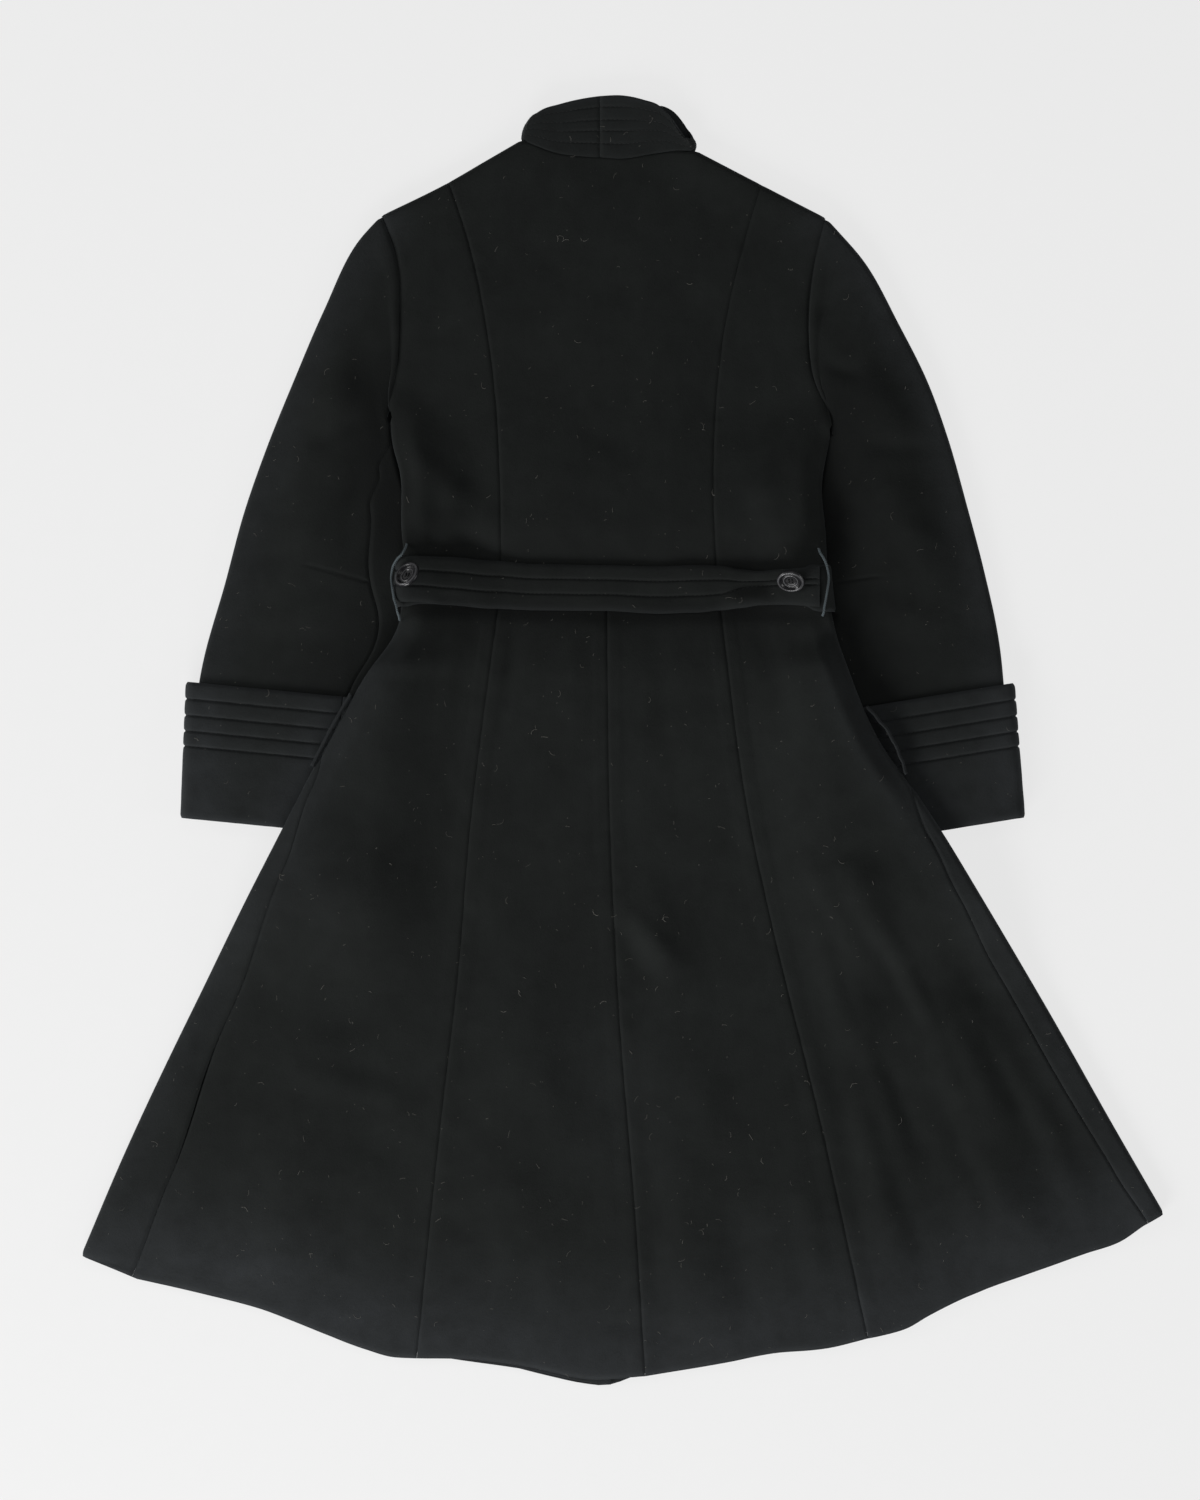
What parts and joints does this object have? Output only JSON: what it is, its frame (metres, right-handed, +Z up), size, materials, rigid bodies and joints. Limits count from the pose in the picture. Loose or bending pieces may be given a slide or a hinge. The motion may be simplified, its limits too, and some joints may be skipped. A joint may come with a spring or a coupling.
{
  "type": "belted overcoat",
  "caption": "Black wool fit-and-flare overcoat laid flat with its back up: stand collar, princess seams, turned-back cuffs and a buttoned half belt.",
  "frame": {"origin": "on the floor under the middle of the coat's outline", "axes": "+X to the right as the picture shows it, +Y to the collar, +Z up from the floor, out of the coat's back"},
  "size_m": [0.9769, 1.1623, 0.0524],
  "materials": {
    "black_wool": "matt, felted",
    "black_button": "gloss",
    "loop_thread": "twisted thread"
  },
  "bodies": {
    "root": {"bodice_centre_back": "black_wool", "bodice_side_back_left": "black_wool", "bodice_side_back_right": "black_wool", "bodice_front_left": "black_wool", "bodice_front_right": "black_wool", "skirt_centre_back_left": "black_wool", "skirt_centre_back_right": "black_wool", "skirt_side_back_left": "black_wool", "skirt_side_back_right": "black_wool", "skirt_front_left": "black_wool", "skirt_front_right": "black_wool", "sleeve_left": "black_wool", "sleeve_right": "black_wool", "cuff_left": "black_wool", "cuff_right": "black_wool", "collar_left": "black_wool", "collar_right": "black_wool", "belt_back": "black_wool", "belt_front": "black_wool", "pocket_edge_left": "black_wool", "pocket_edge_right": "black_wool", "button_left": "black_button", "button_right": "black_button", "belt_loop_left": "loop_thread", "belt_loop_right": "loop_thread"}
  },
  "joints": []
}
